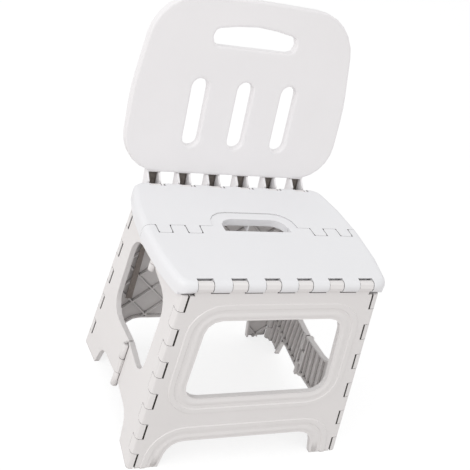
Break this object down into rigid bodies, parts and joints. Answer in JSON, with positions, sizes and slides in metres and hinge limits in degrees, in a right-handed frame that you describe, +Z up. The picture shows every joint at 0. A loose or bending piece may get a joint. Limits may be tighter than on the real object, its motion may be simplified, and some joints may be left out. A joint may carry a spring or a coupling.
{
  "type": "folding step stool chair",
  "caption": "Folding moulded plastic step stool with a hand hole in its split seat, folding sides and a slotted backrest that folds down on the rear hinge rod.",
  "frame": {"origin": "on the floor under the middle of the whole chair's box, with the stool open and the backrest up", "axes": "+Z up, the sitter faces -Y, +X is to the sitter's left"},
  "size_m": [0.339, 0.3222, 0.5749],
  "materials": {
    "seat_plastic": "satin",
    "panel_plastic": "satin",
    "rod_steel": "satin"
  },
  "bodies": {
    "front_leg": {"front_leg_panel": "panel_plastic", "front_seat_rod": "rod_steel", "left_front_corner_rod": "rod_steel", "right_front_corner_rod": "rod_steel"},
    "seat_front": {"seat_front_half": "seat_plastic", "centre_pin_left": "rod_steel", "centre_pin_right": "rod_steel"},
    "seat_rear": {"seat_rear_half": "seat_plastic"},
    "rear_leg": {"rear_leg_panel": "panel_plastic", "rear_seat_rod": "rod_steel", "left_rear_corner_rod": "rod_steel", "right_rear_corner_rod": "rod_steel"},
    "left_front_side": {"left_front_side_panel": "panel_plastic", "left_upper_middle_pin": "rod_steel", "left_lower_middle_pin": "rod_steel"},
    "right_front_side": {"right_front_side_panel": "panel_plastic", "right_upper_middle_pin": "rod_steel", "right_lower_middle_pin": "rod_steel"},
    "left_rear_side": {"left_rear_side_panel": "panel_plastic"},
    "right_rear_side": {"right_rear_side_panel": "panel_plastic"},
    "backrest": {"backrest": "seat_plastic"}
  },
  "joints": [
    {"name": "fold", "type": "hinge", "parent": "front_leg", "child": "seat_front", "pos_m": [0, -0.13662, 0.2997], "axis": [1, 0, 0], "range_deg": [0, 86.17]},
    {"name": "seat_break", "type": "hinge", "parent": "seat_front", "child": "seat_rear", "pos_m": [0, -0.02242, 0.2844], "axis": [1, 0, 0], "range_deg": [-180.01, 0]},
    {"name": "rear_leg_swing", "type": "hinge", "parent": "seat_rear", "child": "rear_leg", "pos_m": [0, 0.09178, 0.2997], "axis": [1, 0, 0], "range_deg": [0, 86.17]},
    {"name": "left_front_side_fold", "type": "hinge", "parent": "front_leg", "child": "left_front_side", "pos_m": [-0.13711, -0.13216, 0.287], "axis": [0.0717, 0.0667, 0.9952], "range_deg": [-86.28, 0]},
    {"name": "right_front_side_fold", "type": "hinge", "parent": "front_leg", "child": "right_front_side", "pos_m": [0.13711, -0.13216, 0.287], "axis": [-0.0717, 0.0667, 0.9952], "range_deg": [0, 86.28]},
    {"name": "left_rear_side_fold", "type": "hinge", "parent": "rear_leg", "child": "left_rear_side", "pos_m": [-0.13711, 0.08732, 0.287], "axis": [0.0717, -0.0667, 0.9952], "range_deg": [0, 86.28]},
    {"name": "right_rear_side_fold", "type": "hinge", "parent": "rear_leg", "child": "right_rear_side", "pos_m": [0.13711, 0.08732, 0.287], "axis": [-0.0717, -0.0667, 0.9952], "range_deg": [-86.28, 0]},
    {"name": "backrest_fold", "type": "hinge", "parent": "rear_leg", "child": "backrest", "pos_m": [0, 0.09178, 0.2997], "axis": [-1, 0, 0], "range_deg": [-11.6, 0]}
  ],
  "couplings": [
    {"joint": "seat_break", "follows": "fold", "ratio": -2.089},
    {"joint": "rear_leg_swing", "follows": "fold", "ratio": 1},
    {"joint": "left_front_side_fold", "follows": "fold", "ratio": -1.0013},
    {"joint": "right_front_side_fold", "follows": "fold", "ratio": 1.0013},
    {"joint": "left_rear_side_fold", "follows": "fold", "ratio": 1.0013},
    {"joint": "right_rear_side_fold", "follows": "fold", "ratio": -1.0013}
  ]
}
